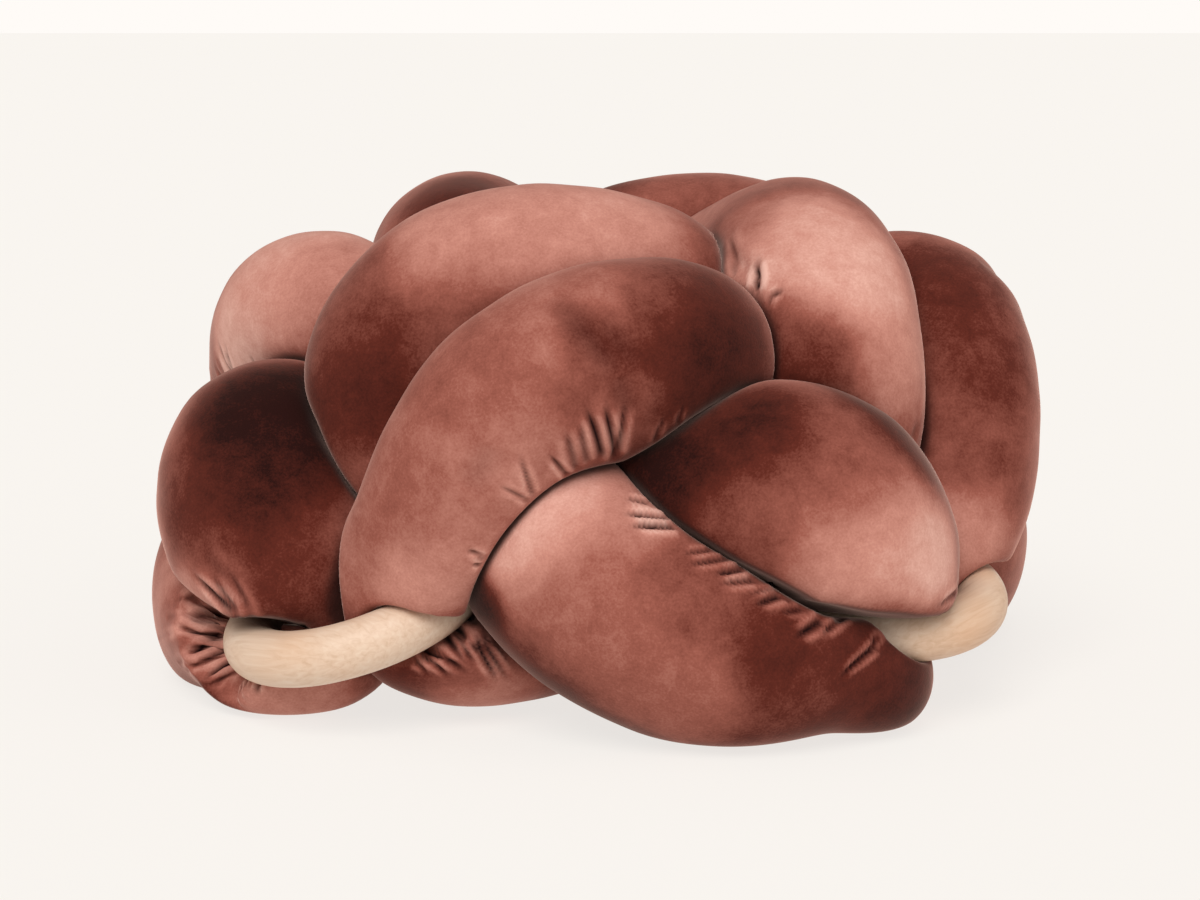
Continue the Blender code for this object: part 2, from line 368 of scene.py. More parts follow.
def makeTubeShape():
    points, radii, distance, length, rowPlace = makeCentreline(**tube["spacing"])
    along, side, up = tubeFrames(points)
    outward = points - knotMiddle
    outward /= np.linalg.norm(outward, axis=1)[:, None]
    outward = outward - along * (outward * along).sum(axis=1)[:, None]
    facing = np.linalg.norm(outward, axis=1)[:, None]
    outward = outward / np.maximum(facing, 1e-6)
    outerAngle = np.arctan2((outward * up).sum(axis=1), (outward * side).sum(axis=1))[:, None]
    angles = np.arange(tube["around"])[None] * 2 * np.pi / tube["around"]
    angles = angles - tube["outerShare"] * facing * np.sin(angles - outerAngle)
    reach = side[:, None] * np.cos(angles)[:, :, None] + up[:, None] * np.sin(angles)[:, :, None]
    ahead = np.linalg.norm(np.roll(points, -1, axis=0) - np.roll(points, 1, axis=0), axis=1)
    bend = (np.roll(along, -1, axis=0) - np.roll(along, 1, axis=0)) / ahead[:, None]
    inward = np.einsum("ij,imj->im", bend, reach)
    below = np.maximum(-reach[:, :, 2], 0)
    free = radii[:, None] * (1 + tube["hang"] * shoulderShare(rowPlace)[:, None] * below)
    outside = points[:, :2] / np.hypot(points[:, 0], points[:, 1])[:, None]
    outside = np.maximum((reach[:, :, :2] * outside[:, None]).sum(axis=2), 0)
    for row, wide, allRound, outer, lower in tube["fills"]:
        near = np.exp(-(((rowPlace - row) / wide) ** 2))[:, None]
        free = free * (1 + near * (allRound + outer * outside**2 + lower * below**2))
    curved = softMin(free, tube["bendFill"] / np.maximum(inward, 1e-3), tube["shoulder"])
    pressing = radii * fullness(rowPlace)
    touching = contactLimit(points, reach, pressing, distance, length, shoulderSag(rowPlace))
    size = softMin(curved, touching, tube["shoulder"])
    size = softMin(size, ringLimit(points, reach), tube["ringShoulder"])
    down = np.maximum(-reach[:, :, 2], 1e-6)
    floor = np.where(-reach[:, :, 2] > 1e-6, points[:, 2][:, None] / down, noLimit)
    size = softMin(size, floor, tube["floorShoulder"])
    size = np.maximum(size, tube["least"])
    grid = points[:, None] + reach * size[:, :, None]
    squeeze = inward * size  # how much shorter the cloth's path is than the tube's own
    aside = np.cross(along, outward)
    face = np.degrees(np.arctan2((reach * aside[:, None]).sum(2), (reach * outward[:, None]).sum(2)))
    return {
        "grid": grid, "squeeze": squeeze, "face": face, "row": rowPlace,
        "distance": distance, "touching": touching, "size": size, "reach": reach,
    }


def gatherWave(shape):  # short puckers across the tube where a bend bunches the cloth
    bunched = smoothStep(*tube["gatherFrom"], shape["squeeze"])
    wanderBy, wanderSize = tube["gatherWander"]
    wander = noiseAt(shape["grid"], wanderSize, 3) * wanderBy
    wave = np.sin(2 * np.pi * shape["distance"][:, None] / tube["gatherPitch"] + wander)
    mean, varied, variedSize = tube["gatherUneven"]
    strength = np.clip(mean + varied * noiseAt(shape["grid"], variedSize, 5), 0, mean + varied)
    return -tube["gatherDepth"] * bunched * strength * (0.5 - 0.5 * wave) ** 2


# Pleats and creases of the front, each placed as the front view shows it.
# Right and up are millimetres from the middle of the view, at the cushion's centre.
# A pleat runs from its faint outer end to the crease that it goes into.
pleats = (
    # right, up, to right, to up, half width, depth
    (-84, -64, -73, -70, 2.0, 1.6),  # inner edge of the front arch
    (-80, -73, -70, -78, 2.0, 1.6),
    (-63, -23, -48, -31, 2.0, 1.3),
    (-50, -3, -45, -21, 2.2, 1.4),
    (-32, -3, -20, -17, 2.2, 2.0),
    (-21, 13, -17, -4, 3.4, 1.4),
    (-12, 18, -9, -1, 3.4, 1.4),
    (-7, 28, 0, 4, 3.2, 2.8),
    (5, 30, 9, 4, 3.0, 2.6),
    (20, 32, 13, 6, 2.8, 2.0),
    (44, 22, 38, 11, 2.2, 1.2),
    (56, 29, 51, 18, 2.0, 1.2),
    (16, -33, 43, -37, 2.4, 1.8),  # upper edge of the low lobe
    (15, -43, 54, -47, 2.8, 3.0),
    (18, -51, 54, -51, 2.8, 3.4),
    (54, -68, 72, -66, 2.2, 1.6),
    (58, -75, 82, -72, 2.4, 2.0),
    (76, -81, 100, -78, 2.8, 3.2),
    (78, -88, 110, -84, 2.6, 2.0),
    (97, -95, 114, -91, 2.0, 1.4),
    (102, -101, 130, -91, 3.0, 3.6),
    (119, -108, 134, -102, 2.4, 1.6),
    (128, -123, 157, -103, 3.2, 3.8),
    (144, -122, 161, -108, 2.4, 2.6),
    (156, -150, 171, -136, 2.2, 2.4),
    (175, -135, 180, -124, 2.0, 1.8),
    (-274, -99, -262, -94, 2.4, 1.8),  # gathers round the left ring
    (-280, -110, -252, -108, 2.8, 3.2),
    (-285, -123, -252, -113, 2.8, 3.8),
    (-287, -130, -277, -118, 2.4, 2.0),
    (-267, -119, -250, -121, 2.6, 2.8),
    (-272, -139, -251, -126, 3.0, 3.6),
    (-267, -144, -248, -134, 2.6, 2.8),
    (-257, -150, -242, -141, 2.6, 2.6),
    (-252, -154, -240, -146, 2.4, 1.8),
    (-263, -165, -246, -154, 2.2, 1.4),
    (-235, -157, -228, -150, 2.4, 2.0),
    (-222, -159, -220, -152, 2.2, 1.8),
    (-113, -146, -118, -137, 2.2, 1.8),  # gathers under its right end
    (-100, -147, -110, -135, 2.4, 2.4),
    (-86, -145, -105, -131, 2.8, 3.2),
    (-89, -137, -98, -123, 3.0, 2.4),
    (-82, -138, -90, -125, 2.4, 2.2),
    (-74, -135, -91, -118, 3.0, 3.4),
    (-69, -128, -85, -111, 2.8, 2.8),
    (-68, -150, -77, -131, 2.8, 3.0),
    (-61, -149, -78, -122, 3.0, 3.2),
    (-57, -141, -74, -119, 2.4, 2.0),
    (-264, -79, -232, -107, 3.2, 2.6),  # left shoulder above the ring
    (-252, -79, -236, -100, 3.0, 1.8),
    (-241, -77, -229, -97, 3.0, 1.3),
    (101, 123, 101, 106, 3.0, 2.8),  # crown lobe beside the arch's end
    (118, 103, 105, 93, 2.2, 1.8),
    (84, 141, 87, 121, 2.8, 1.2),
    (217, -100, 235, -87, 2.4, 2.0),  # right shoulder at its ring
    (222, -105, 237, -97, 2.2, 1.6),
)
softCreases = (
    # right, up, to right, to up, half width, depth
    (-31, 101, 15, 47, 9.0, 2.6),  # broad slack folds across the arch
    (15, 47, 20, 17, 6.0, 2.0),
    (-1, 86, 28, 54, 8.0, 1.6),
    (-67, 3, -85, -26, 9.0, 1.2),
    (81, 132, 102, 110, 4.0, 1.6),
    (71, 141, 89, 119, 3.5, 1.4),
    (202, 10, 224, -12, 7.0, 1.6),
    (-257, -65, -226, -102, 4.0, 1.4),
)
# Painted sheen and shade: where the brushed pile shows pale or dark in the front view's light, tone 1 is
# palest and -1 darkest
paintedSheenAndShadePatches = (
    # right, up, radius, tone
    (-118, -26, 47, 0.05),  # front arch
    (-67, 43, 40, -0.05),
    (71, 86, 47, -0.95),
    (19, 79, 29, -0.7),
    (-9, 50, 22, -0.35),
    (37, 112, 33, -0.1),
    (-89, -70, 29, 0.25),
    (-105, 45, 24, -0.2),
    (-52, 0, 26, 0.3),
    (5, 103, 22, 0.1),
    (-118, -85, 22, 0.6),
    (-67, 152, 44, 0.4),  # left crown lobe
    (6, 152, 40, 0.6),
    (-165, 97, 40, -0.3),
    (-115, 128, 28, 0.6),
    (-147, 54, 40, -0.75),
    (-103, 86, 33, -0.2),
    (133, 134, 44, 0.75),  # right crown lobe
    (162, 108, 36, 0.9),
    (140, 61, 33, -0.65),
    (118, 79, 22, -0.35),
    (187, 61, 29, 0.35),
    (89, 137, 25, 0.15),
    (-223, 105, 40, 0.7),  # arch at the left
    (-238, 65, 33, 1.1),
    (-176, 119, 25, 0.4),
    (-205, 25, 47, -1.3),  # left shoulder
    (-227, -15, 40, -1.05),
    (-263, -33, 33, -0.6),
    (-201, -77, 29, -0.6),
    (-248, -70, 25, -0.3),
    (-281, -12, 18, -0.3),
    (-267, -164, 29, 0.15),  # low lobe at the left
    (-201, -164, 29, 0.4),
    (-274, -121, 22, -0.2),
    (-262, -88, 18, 0.5),
    (-79, -100, 18, -1.2),
    (-74, -161, 29, 0.2),  # bend under the arch
    (-89, -132, 22, -0.5),
    (-38, -41, 40, 0.8),  # front low lobe
    (-1, -102, 40, 0.05),
    (60, -92, 36, -0.3),
    (115, -132, 29, -0.7),
    (180, -132, 33, -0.85),
    (206, -161, 33, -1.0),
    (133, -182, 33, -0.6),
    (42, -157, 36, 0.1),
    (28, -48, 22, 0.3),
    (42, -8, 25, -1.15),  # right shoulder
    (97, 10, 33, -1.0),
    (169, -62, 44, 0.6),
    (213, -70, 29, 1.0),
    (108, -44, 33, -0.3),
    (147, -12, 33, -0.3),
    (224, 112, 36, -0.75),  # arch at the right
    (249, 61, 33, -0.62),
    (246, -8, 33, -0.3),
    (240, -48, 29, 0.5),
    (275, -55, 18, 0.1),
    (-89, 166, 33, -0.9),  # crown lobes at the back
    (71, 166, 33, -0.3),
)
studio = {
    "cameraPlace": (0.0, -1.75, 0.42),
    "cameraTarget": (0.0, 0.0, 0.135),
    "lens": 82.0,
    "sensor": 36.0,
    "world": 0.46,
    "worldColour": "#FFFCF8",
    "sweepColour": "#706E69",
    "sweepGlow": 0.78,  # a lit paper sweep, so that the shadow on it stays faint
    "sweepSize": 80,
    "backdrop": "#FFFBF7",
    "keyPower": 2.25,
    "keySpread": 38.0,
    "keyFrom": (-0.25, -1.2, 1.3),
    "fillPower": 0.45,
    "fillSpread": 60.0,
    "fillFrom": (1.4, -0.8, 0.7),
}
aim = np.array(studio["cameraTarget"]) - np.array(studio["cameraPlace"])
aim /= np.linalg.norm(aim)
aimRight = np.cross(aim, [0.0, 0.0, 1.0])
aimRight /= np.linalg.norm(aimRight)
aimUp = np.cross(aimRight, aim)

# How the folds are pressed into the cloth, with painted shade in their troughs and painted highlight on
# their ridges, and how the pile's tone is laid on with its painted sheen and shade
folds = {
    # follow is how far a fold is traced, in its own lengths, and places is in how many stops; shade and
    # light are how much painted shade and painted highlight it gets
    "pleat": {"rows": pleats, "follow": 1.7, "places": 12, "shade": 1.0, "light": 1.0},
    "soft": {"rows": softCreases, "follow": 1.0, "places": 7, "shade": 0.3, "light": 0.4},
    "lobeEnd": 30,  # sections: a fold stops where the view jumps further than this along the tube
    "hiddenBy": 0.012,  # metres between a place and the cloth in front of it, where it doesn't show
    "evening": 4,
    "guessedDepth": (0.6, 1.0),  # of the depth given, where the real folds don't show
    "backWider": 0.7,  # as the mesh is coarser there
    "rowsReach": 1.6,
    "fadeIn": (-0.08, 0.38),
    "fadeOut": (0.85, 1.0),
    "pleatWidth": (0.5, 0.28),  # share of the width given, at its outer end and gained to the other
    "softEnds": 0.6,
    "troughPower": 1.6,
    "ridge": (2.4, 1.2),  # how far from the middle, and how wide, in the trough's half widths
    "ridgeHeight": 0.4,
    "ridgeShade": 0.3,
    "fullDepth": 2.0,  # millimetres, from which a fold's painted shade is full
    "boldest": 1.25,
    "litTone": 0.6,  # painted highlight: how much paler the pile is painted on a fold's ridge
}
napTonePaint = {
    "uneven": (0.9, 0.13),  # tone, and over what size in metres
    # Painted light and shade from the surface's facing: with the next two numbers the pile is paler facing
    # up and darker facing sideways or down
    "upward": 0.35,  # painted light: paler where the pile faces up
    "darker": 0.2,
    "unevenWeight": 0.10,  # how much these three count beside the patches
    "rowsReach": 4.5,
    "patchSize": 0.75,  # of the radius given
    "patchWeight": 1.6,
    "guessedWeight": 0.8,  # where the real patches don't show
    "coarse": (0.15, 0.06),
    "fine": (0.10, 0.022),
}


def surfaceFinder(grid, faces):
    tree = BVHTree.FromPolygons(grid.reshape(-1, 3).tolist(), faces.tolist())
    eye = Vector(studio["cameraPlace"])
    target = np.array(studio["cameraTarget"])

    def look(right, up):  # section and point round the tube that the front view shows there
        point = Vector(target + aimRight * right / 1000 + aimUp * up / 1000)
        _, _, face, _ = tree.ray_cast(eye, (point - eye).normalized())
        return None if face is None else divmod(face, grid.shape[1])

    def seen(point):
        way = Vector(point) - eye
        hit, _, _, reach = tree.ray_cast(eye, way.normalized())
        return hit is not None and reach > way.length - folds["hiddenBy"]

    return look, seen


def sameTurn(shape, section, around, quarters):  # the same place a number of quarters on
    row = (shape["row"][section] + len(route) * quarters) % (4 * len(route))
    other = int(np.argmin(np.abs(shape["row"] - row)))
    swing = np.abs((shape["face"][other] - shape["face"][section, around] + 180) % 360 - 180)
    return other, int(np.argmin(swing))


def rowsNear(shape, section, reach):
    apart = np.abs(shape["row"] - shape["row"][section])
    return np.where(np.minimum(apart, 4 * len(route) - apart) < reach)[0]


def pathOnSurface(look, kind, right, up, toRight, toUp):  # stops where the lobe does
    found = []
    for share in np.linspace(0, kind["follow"], kind["places"]):
        place = look(right + (toRight - right) * share, up + (toUp - up) * share)
        if place is None or (found and abs(place[0] - found[-1][0]) > folds["lobeEnd"]):
            break
        found.append(place)
    return found


def evenPath(points):  # they are points of the mesh, so the line between them is evened
    path = np.array(points)
    for _ in range(folds["evening"]):
        path[1:-1] = (path[:-2] + 2 * path[1:-1] + path[2:]) / 4
    return path


def pathDistance(points, path):  # distance to a path, and how far along it
    best = np.full(len(points), noLimit)
    share = np.zeros(len(points))
    for i in range(len(path) - 1):
        leg = path[i + 1] - path[i]
        part = np.clip(((points - path[i]) @ leg) / max(leg @ leg, 1e-12), 0, 1)
        away = np.linalg.norm(points - path[i] - part[:, None] * leg, axis=1)
        closer = away < best
        best[closer] = away[closer]
        share[closer] = (i + part[closer]) / (len(path) - 1)
    return best, share


def foldProfile(block, path, kind, halfWidth):  # its trough, its ridges and the painted highlight on them
    away, share = pathDistance(block.reshape(-1, 3), path)
    width = halfWidth * (1 + folds["backWider"] * smoothStep(*tube["frontToBack"], path[0][1])) / 1000
    if kind is folds["pleat"]:
        start, growth = folds["pleatWidth"]
        width = width * (start + growth * share)
        strength = smoothStep(*folds["fadeIn"], share) * (1 - smoothStep(*folds["fadeOut"], share))
    else:
        strength = np.sin(np.pi * np.clip(share, 0, 1)) ** folds["softEnds"]
    ridgePlace, ridgeWidth = folds["ridge"]
    trough = np.exp(-((away / width) ** folds["troughPower"])) * strength
    ridge = np.exp(-(((away - ridgePlace * width) / (ridgeWidth * width)) ** 2)) * strength
    return [part.reshape(block.shape[:2]) for part in (trough, ridge, ridge * strength)]


def foldCloth(shape, look, seen):  # how far each point moves, and its painted shade and painted highlight
    grid = shape["grid"]
    push, shade, lit = (np.zeros(grid.shape[:2]) for _ in range(3))
    chance = np.random.default_rng(4)
    for kind in (folds["pleat"], folds["soft"]):
        for *line, halfWidth, depth in kind["rows"]:
            found = pathOnSurface(look, kind, *line)
            if len(found) < 2:
                continue
            for quarter in range(4):
                places = [sameTurn(shape, *place, quarter) if quarter else place for place in found]
                middle = places[len(places) // 2]
                if quarter and seen(grid[middle]):
                    continue
                vary = chance.uniform(*folds["guessedDepth"]) if quarter else 1.0
                near = rowsNear(shape, middle[0], folds["rowsReach"])
                path = evenPath([grid[place] for place in places])
                trough, ridge, light = foldProfile(grid[near], path, kind, halfWidth)
                bold = min(depth / folds["fullDepth"], folds["boldest"]) * vary
                # painted shade in the fold's trough, less of it on the ridges
                foldShade = (trough - folds["ridgeShade"] * ridge) * bold * kind["shade"]
                push[near] += (folds["ridgeHeight"] * ridge - trough) * depth * vary / 1000
                shade[near] = np.maximum(shade[near], foldShade)
                # painted highlight on the fold's ridges
                lit[near] = np.maximum(lit[near], light * bold * kind["light"])
    return push, shade, lit


# the pile's tone: random unevenness, painted light from above, painted sheen and shade in patches, and
# fine random marks
def paintNapToneAndLight(shape, look, seen):
    grid = shape["grid"]
    uneven, unevenSize = napTonePaint["uneven"]
    coarse, coarseSize = napTonePaint["coarse"]
    fine, fineSize = napTonePaint["fine"]
    upward = gridNormals(grid)[:, :, 2]
    # painted light and shade: paler facing up, darker facing sideways or down
    base = uneven * noiseAt(grid, unevenSize, 7) + napTonePaint["upward"] * upward - napTonePaint["darker"]
    total = np.full(grid.shape[:2], napTonePaint["unevenWeight"])
    tone = base * total
    for right, up, radius, value in paintedSheenAndShadePatches:
        place = look(right, up)
        if place is None:
            continue
        for quarter in range(4):
            spot = sameTurn(shape, *place, quarter) if quarter else place
            if quarter and seen(grid[spot]):
                continue
            near = rowsNear(shape, spot[0], napTonePaint["rowsReach"])
            square = ((grid[near] - grid[spot]) ** 2).sum(axis=2)
            weight = np.exp(-square / (napTonePaint["patchSize"] * radius / 1000) ** 2)
            weight *= napTonePaint["guessedWeight"] if quarter else napTonePaint["patchWeight"]
            total[near] += weight
            tone[near] += weight * value
    return tone / total + coarse * noiseAt(grid, coarseSize, 8) + fine * noiseAt(grid, fineSize, 9)


def gridFaces(sections, around):
    here = np.arange(sections)[:, None] * around
    there = ((np.arange(sections) + 1) % sections)[:, None] * around
    left = np.arange(around)[None]
    right = (left + 1) % around
    faces = np.stack([here + left, here + right, there + right, there + left], axis=-1)
    return faces.reshape(-1, 4)


def makeTube():
    shape = makeTubeShape()
    print("tube: sections", len(shape["row"]), "points round", tube["around"])
    smoothed = blur(shape["grid"], tube["smoothing"])
    shape["grid"], bridged = bridgeBends(smoothed, shape["row"], shape["reach"])
    grid = shape["grid"]
    faces = gridFaces(*grid.shape[:2])
    look, seen = surfaceFinder(grid, faces)
    push, shade, lit = foldCloth(shape, look, seen)
    print("tube: pleats pressed")
    # the pile's tone with its painted sheen and shade, and the painted highlight of the fold ridges added
    napToneAndPaintedLight = paintNapToneAndLight(shape, look, seen) + folds["litTone"] * lit
    print("tube: nap brushed")
    swell = tube["lumps"] * noiseAt(grid, tube["lumpSize"], 1)
    swell = swell + tube["fineLumps"] * noiseAt(grid, tube["fineLumpSize"], 2) + gatherWave(shape) + push
    swell = swell * smoothStep(0.0, tube["calmHeight"], grid[:, :, 2])
    grid = grid + gridNormals(grid) * swell[:, :, None]
    grid[:, :, 2] = np.maximum(grid[:, :, 2], 0.0)
    # painted shade where one loop meets the next, less where slack cloth bridges the bend
    apart = smoothStep(*tube["touchWidth"], shape["touching"] - shape["size"])
    contactShade = tube["touchShade"] * (1 - apart) * (1 - tube["slackShade"] * bridged)
    mesh = bpy.data.meshes.new("stuffed_velvet_tube")
    mesh.from_pydata(grid.reshape(-1, 3).tolist(), [], faces.tolist())
    mesh.shade_smooth()
    # the crease attribute carries painted shade, of the fold troughs and of the contacts
    for name, values in (("napToneAndPaintedLight", napToneAndPaintedLight), ("crease", np.maximum(shade, contactShade))):
        layer = mesh.attributes.new(name, "FLOAT", "POINT")
        layer.data.foreach_set("value", values.astype(np.float32).ravel())
    piece = bpy.data.objects.new("stuffed_velvet_tube", mesh)
    bpy.context.scene.collection.objects.link(piece)
    return piece


def linear(colour):  # sRGB hex to linear
    parts = [int(colour[i:i + 2], 16) / 255 for i in (1, 3, 5)]
    return tuple(p / 12.92 if p <= 0.04045 else ((p + 0.055) / 1.055) ** 2.4 for p in parts) + (1.0,)


def addNode(tree, kind, settings=None, links=None):
    node = tree.nodes.new(kind)
    for name, value in (settings or {}).items():
        if isinstance(name, str) and hasattr(node, name):
            setattr(node, name, value)
        else:
            node.inputs[name].default_value = value
    for name, source in (links or {}).items():
        tree.links.new(source, node.inputs[name])
    return node


def addRamp(tree, source, stops):
    ramp = addNode(tree, "ShaderNodeValToRGB", links={"Fac": source})
    band = ramp.color_ramp
    while len(band.elements) < len(stops):
        band.elements.new(1.0)
    for element, (place, colour) in zip(band.elements, stops):
        element.position = place
        element.color = linear(colour)
    return ramp.outputs["Color"]


# Cotton velvet: short dense pile that stands up, so it is matte, darkest seen straight
# into the pile and pale where the pile is brushed over or seen along its edge
velvetLook = {
    # the cloth's colour, from the deepest painted shade to the palest painted sheen
    "tones": ((0.0, "#240A07"), (0.25, "#59241A"), (0.5, "#925447"), (0.75, "#BE8374"), (1.0, "#DFB0A1")),
    "napRange": (-1.15, 1.15),
    "noiseRange": (0.25, 0.75),
    # painted shade in the creases: the near black that the crease attribute mixes towards, and how far
    "creaseShadeColour": "#1E0A0A",
    "creaseShadeShare": 0.9,
    "mottle": {"Scale": 90.0, "Detail": 5.0, "Roughness": 0.62, "Distortion": 0.4},  # marks 11 mm apart
    "mottleTone": 0.065,
    "pile": {"Scale": 700.0, "Detail": 2.0, "Roughness": 0.6},  # 1.4 mm tufts: real ones would not show
    "pileTone": 0.05,
    "bump": {"Strength": 0.6, "Distance": 0.0002},
    "roughness": 0.9,
    "specular": 0.1,
    "sheen": 0.6,
    "sheenRoughness": 0.32,
    "sheenTint": "#F0C6B8",
}


def addRange(tree, source, fromRange, toRange):
    settings = {"From Min": fromRange[0], "From Max": fromRange[1], "clamp": False}
    settings.update({"To Min": toRange[0], "To Max": toRange[1]})
    return addNode(tree, "ShaderNodeMapRange", settings, {"Value": source}).outputs[0]


def addSum(tree, first, second):
    return addNode(tree, "ShaderNodeMath", {"operation": "ADD"}, {0: first, 1: second}).outputs[0]


def makeVelvet():
    look = velvetLook
    material = bpy.data.materials.new("Rose brown cotton velvet")
    material.use_nodes = True
    tree = material.node_tree
    shader = tree.nodes["Principled BSDF"]
    shader.inputs["Roughness"].default_value = look["roughness"]
    shader.inputs["Specular IOR Level"].default_value = look["specular"]
    shader.inputs["Sheen Weight"].default_value = look["sheen"]
    shader.inputs["Sheen Roughness"].default_value = look["sheenRoughness"]
    shader.inputs["Sheen Tint"].default_value = linear(look["sheenTint"])
    place = addNode(tree, "ShaderNodeTexCoord").outputs["Object"]
    napToneAndPaintedLight = addNode(tree, "ShaderNodeAttribute", {"attribute_name": "napToneAndPaintedLight"}).outputs["Fac"]
    crease = addNode(tree, "ShaderNodeAttribute", {"attribute_name": "crease"}).outputs["Fac"]
    mottle = addNode(tree, "ShaderNodeTexNoise", look["mottle"], {"Vector": place}).outputs["Fac"]
    pile = addNode(tree, "ShaderNodeTexNoise", look["pile"], {"Vector": place}).outputs["Fac"]
    tone = addRange(tree, napToneAndPaintedLight, look["napRange"], (0.0, 1.0))
    brushed = addRange(tree, mottle, look["noiseRange"], (-look["mottleTone"], look["mottleTone"]))
    tufted = addRange(tree, pile, look["noiseRange"], (-look["pileTone"], look["pileTone"]))
    colour = addRamp(tree, addSum(tree, tone, addSum(tree, brushed, tufted)), look["tones"])
    # painted shade: creases and fold troughs mixed towards near black
    shareSettings = {"operation": "MULTIPLY", "use_clamp": True, 1: look["creaseShadeShare"]}
    share = addNode(tree, "ShaderNodeMath", shareSettings, {0: crease}).outputs[0]
    mixSettings = {"data_type": "RGBA", 7: linear(look["creaseShadeColour"])}
    mixed = addNode(tree, "ShaderNodeMix", mixSettings, {0: share, 6: colour})
    tree.links.new(mixed.outputs[2], shader.inputs["Base Color"])
    bump = addNode(tree, "ShaderNodeBump", look["bump"], {"Height": pile})
    tree.links.new(bump.outputs["Normal"], shader.inputs["Normal"])
    return material


# Turned rings: plain pale hardwood, sanded and left nearly bare
ringMake = {
    "stepsRound": 160,
    "stepsSection": 44,
    "unevenness": 0.0005,
    "waver": {"noise_dimensions": "4D", "Scale": 22.0, "Detail": 1.0},
    "seeds": (0.4, 1.7),  # the first ring's, and the step to the next one's
    "grain": {"Scale": 330.0, "Detail": 3.0, "Roughness": 0.6, "Distortion": 0.6},  # lines 3 mm apart
    "grainStretch": 0.035,
    "grainTones": ((0.25, "#CBAC92"), (0.50, "#D7BBA3"), (0.80, "#DEC8B3")),
    "patch": {"Scale": 16.0, "Detail": 1.0},
    "patchTones": ((0.45, "#FFFFFF"), (0.75, "#F4D2B0")),
    "patchShare": 0.75,
    "bump": {"Strength": 0.25, "Distance": 0.0002},
    "roughness": 0.46,
    "specular": 0.35,
}


def ringTree():
    tree = bpy.data.node_groups.new("Turned wooden ring", "GeometryNodeTree")
    sockets = {}
    for name, kind in (("Ring radius", "Float"), ("Section radius", "Float"), ("Unevenness", "Float"),
                       ("Seed", "Float"), ("Wood", "Material")):
        socket = tree.interface.new_socket(name=name, in_out="INPUT", socket_type="NodeSocket" + kind)
        sockets[name] = socket.identifier
    tree.interface.new_socket(name="Geometry", in_out="OUTPUT", socket_type="NodeSocketGeometry")
    given = addNode(tree, "NodeGroupInput").outputs

    def circle(steps, radius):
        links = {"Radius": given[radius]}
        return addNode(tree, "GeometryNodeCurvePrimitiveCircle", {"Resolution": steps}, links).outputs[0]

    def nextShape(kind, source, settings=None, **links):  # what a step makes of the geometry before it
        return addNode(tree, kind, settings, {"Geometry": source, **links}).outputs[0]

    def maths(kind, operation, settings, links):
        return addNode(tree, kind, {"operation": operation, **settings}, links).outputs[0]

    path = circle(ringMake["stepsRound"], "Ring radius")
    section = circle(ringMake["stepsSection"], "Section radius")
    swept = addNode(tree, "GeometryNodeCurveToMesh", links={"Curve": path, "Profile Curve": section})
    place = addNode(tree, "GeometryNodeInputPosition").outputs[0]
    normal = addNode(tree, "GeometryNodeInputNormal").outputs[0]
    waverLinks = {"Vector": place, "W": given["Seed"]}
    waver = addNode(tree, "ShaderNodeTexNoise", ringMake["waver"], waverLinks).outputs[0]
    centred = maths("ShaderNodeMath", "SUBTRACT", {1: 0.5}, {0: waver})
    scaled = maths("ShaderNodeMath", "MULTIPLY", {}, {0: centred, 1: given["Unevenness"]})
    offset = maths("ShaderNodeVectorMath", "SCALE", {}, {"Vector": normal, "Scale": scaled})
    uneven = nextShape("GeometryNodeSetPosition", swept.outputs[0], Offset=offset)
    seedShift = addNode(tree, "ShaderNodeCombineXYZ", links={"Z": given["Seed"]}).outputs[0]
    ownPlace = maths("ShaderNodeVectorMath", "ADD", {}, {0: place, 1: seedShift})
    storing = {"data_type": "FLOAT_VECTOR", "domain": "POINT", "Name": "woodPlace"}
    stored = nextShape("GeometryNodeStoreNamedAttribute", uneven, storing, Value=ownPlace)
    smooth = nextShape("GeometryNodeSetShadeSmooth", stored)
    whole = nextShape("GeometryNodeRealizeInstances", smooth)
    surfaced = nextShape("GeometryNodeSetMaterial", whole, Material=given["Wood"])
    addNode(tree, "NodeGroupOutput", links={"Geometry": surfaced})
    return tree, sockets


def makeWood():
    material = bpy.data.materials.new("Sanded pale beech")
    material.use_nodes = True
    tree = material.node_tree
    shader = tree.nodes["Principled BSDF"]
    shader.inputs["Roughness"].default_value = ringMake["roughness"]
    shader.inputs["Specular IOR Level"].default_value = ringMake["specular"]
    place = addNode(tree, "ShaderNodeAttribute", {"attribute_name": "woodPlace"}).outputs["Vector"]
    stretch = {"Scale": (1.0, ringMake["grainStretch"], 1.0)}
    squashed = addNode(tree, "ShaderNodeMapping", stretch, {"Vector": place}).outputs[0]
    grain = addNode(tree, "ShaderNodeTexNoise", ringMake["grain"], {"Vector": squashed}).outputs["Fac"]
    patch = addNode(tree, "ShaderNodeTexNoise", ringMake["patch"], {"Vector": place}).outputs["Fac"]
    lines = addRamp(tree, grain, ringMake["grainTones"])
    warm = addRamp(tree, patch, ringMake["patchTones"])
    mixSettings = {"data_type": "RGBA", "blend_type": "MULTIPLY", 0: ringMake["patchShare"]}
    mixed = addNode(tree, "ShaderNodeMix", mixSettings, {6: lines, 7: warm})
    tree.links.new(mixed.outputs[2], shader.inputs["Base Color"])
    bump = addNode(tree, "ShaderNodeBump", ringMake["bump"], {"Height": grain})
    tree.links.new(bump.outputs["Normal"], shader.inputs["Normal"])
    return material


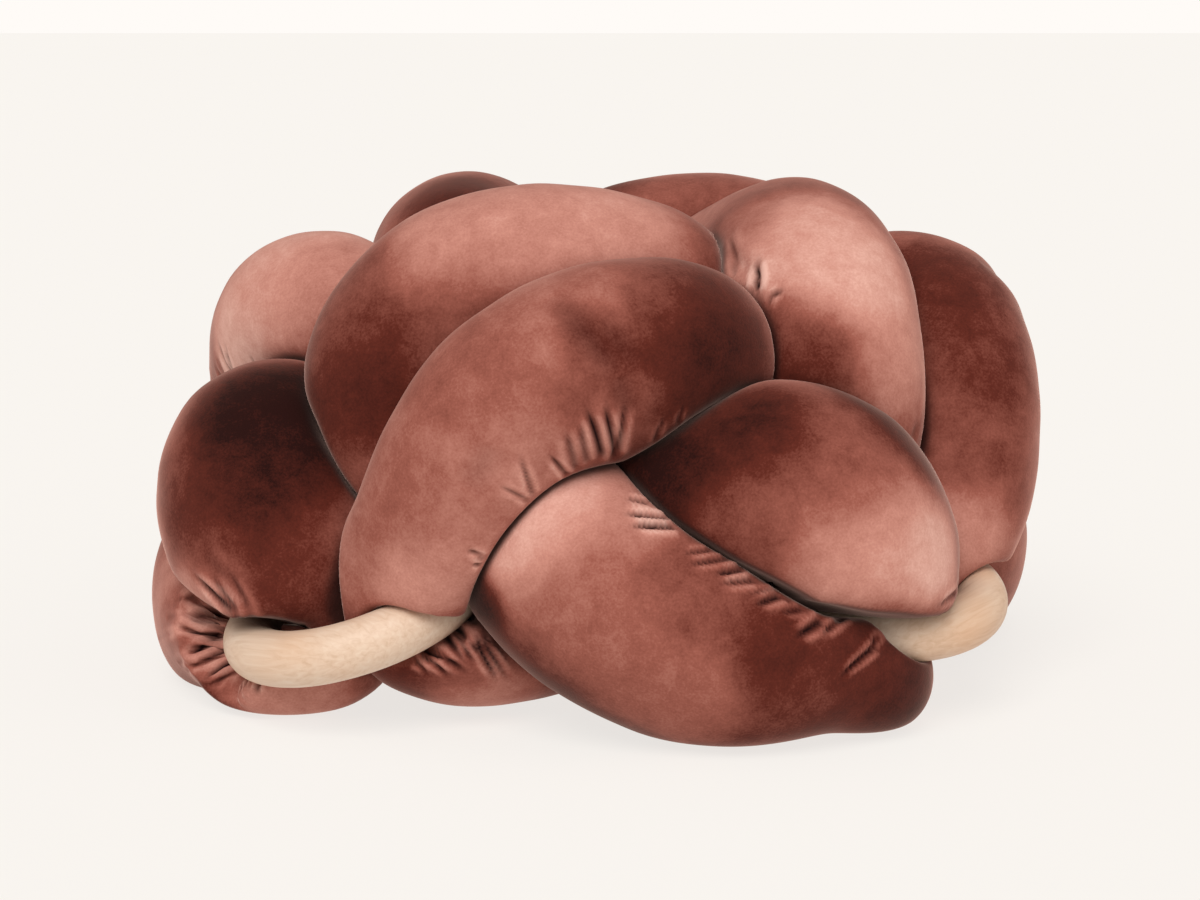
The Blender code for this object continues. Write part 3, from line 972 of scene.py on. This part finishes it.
def makeRings(wood):
    tree, sockets = ringTree()
    firstSeed, seedStep = ringMake["seeds"]
    made = []
    for index, name in enumerate(rings["names"]):
        holder = bpy.data.objects.new("blank", bpy.data.meshes.new("blank"))
        bpy.context.scene.collection.objects.link(holder)
        modifier = holder.modifiers.new("Ring", "NODES")
        modifier.node_group = tree
        seed = seedStep * index + firstSeed
        values = (rings["radius"], rings["section"], ringMake["unevenness"], seed, wood)
        for socket, value in zip(sockets.values(), values):
            modifier[socket] = value
        evaluated = holder.evaluated_get(bpy.context.evaluated_depsgraph_get())
        mesh = bpy.data.meshes.new_from_object(evaluated)
        bpy.data.objects.remove(holder, do_unlink=True)
        centre, outward, sideways, upward = ringFrame(index)
        placed = np.eye(4)
        placed[:3] = np.column_stack([outward, sideways, upward, centre])
        mesh.transform(Matrix(placed))
        piece = bpy.data.objects.new("wooden_" + name, mesh)
        bpy.context.scene.collection.objects.link(piece)
        made.append((piece, name))
    return made


def makeStage():
    bpy.ops.mesh.primitive_plane_add(size=studio["sweepSize"])
    floor = bpy.context.object
    floor.name = "floor"
    material = bpy.data.materials.new("Matte white paper sweep")
    material.use_nodes = True
    shader = material.node_tree.nodes["Principled BSDF"]
    shader.inputs["Base Color"].default_value = linear(studio["sweepColour"])
    shader.inputs["Roughness"].default_value = 1.0
    shader.inputs["Specular IOR Level"].default_value = 0.0
    shader.inputs["Emission Color"].default_value = linear(studio["backdrop"])
    shader.inputs["Emission Strength"].default_value = studio["sweepGlow"]
    floor.data.materials.append(material)


def addSun(name, power, spread, source):
    light = bpy.data.lights.new(name, "SUN")
    light.energy = power
    light.angle = np.radians(spread)
    item = bpy.data.objects.new(name, light)
    bpy.context.scene.collection.objects.link(item)
    item.rotation_euler = (-Vector(source)).to_track_quat("-Z", "Y").to_euler()


def makeStudio():
    scene = bpy.context.scene
    world = bpy.data.worlds.new("Pale studio")
    world.use_nodes = True
    tree = world.node_tree
    lit = tree.nodes["Background"]
    lit.inputs["Color"].default_value = linear(studio["worldColour"])
    lit.inputs["Strength"].default_value = studio["world"]
    shown = addNode(tree, "ShaderNodeBackground", {"Color": linear(studio["backdrop"]), "Strength": 1.0})
    direct = addNode(tree, "ShaderNodeLightPath").outputs["Is Camera Ray"]
    mixed = addNode(tree, "ShaderNodeMixShader", links={0: direct, 1: lit.outputs[0], 2: shown.outputs[0]})
    tree.links.new(mixed.outputs[0], tree.nodes["World Output"].inputs["Surface"])
    scene.world = world
    addSun("key", studio["keyPower"], studio["keySpread"], studio["keyFrom"])
    addSun("fill", studio["fillPower"], studio["fillSpread"], studio["fillFrom"])
    camera = bpy.data.cameras.new("camera")
    camera.lens = studio["lens"]
    camera.sensor_width = studio["sensor"]
    item = bpy.data.objects.new("camera", camera)
    scene.collection.objects.link(item)
    item.location = studio["cameraPlace"]
    item.rotation_euler = Vector(aim).to_track_quat("-Z", "Y").to_euler()
    scene.camera = item
    scene.view_settings.view_transform = "Standard"


print("stage 1: stuffed velvet tube")
tubePiece = makeTube()
tubePiece.data.materials.append(makeVelvet())
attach(tubePiece, "root")
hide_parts("knot_tube")
print("stage 2: wooden rings")
for ringPiece, node in makeRings(makeWood()):
    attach(ringPiece, "root")
    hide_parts(node)
print("stage 3: floor, light and camera")
makeStage()
makeStudio()
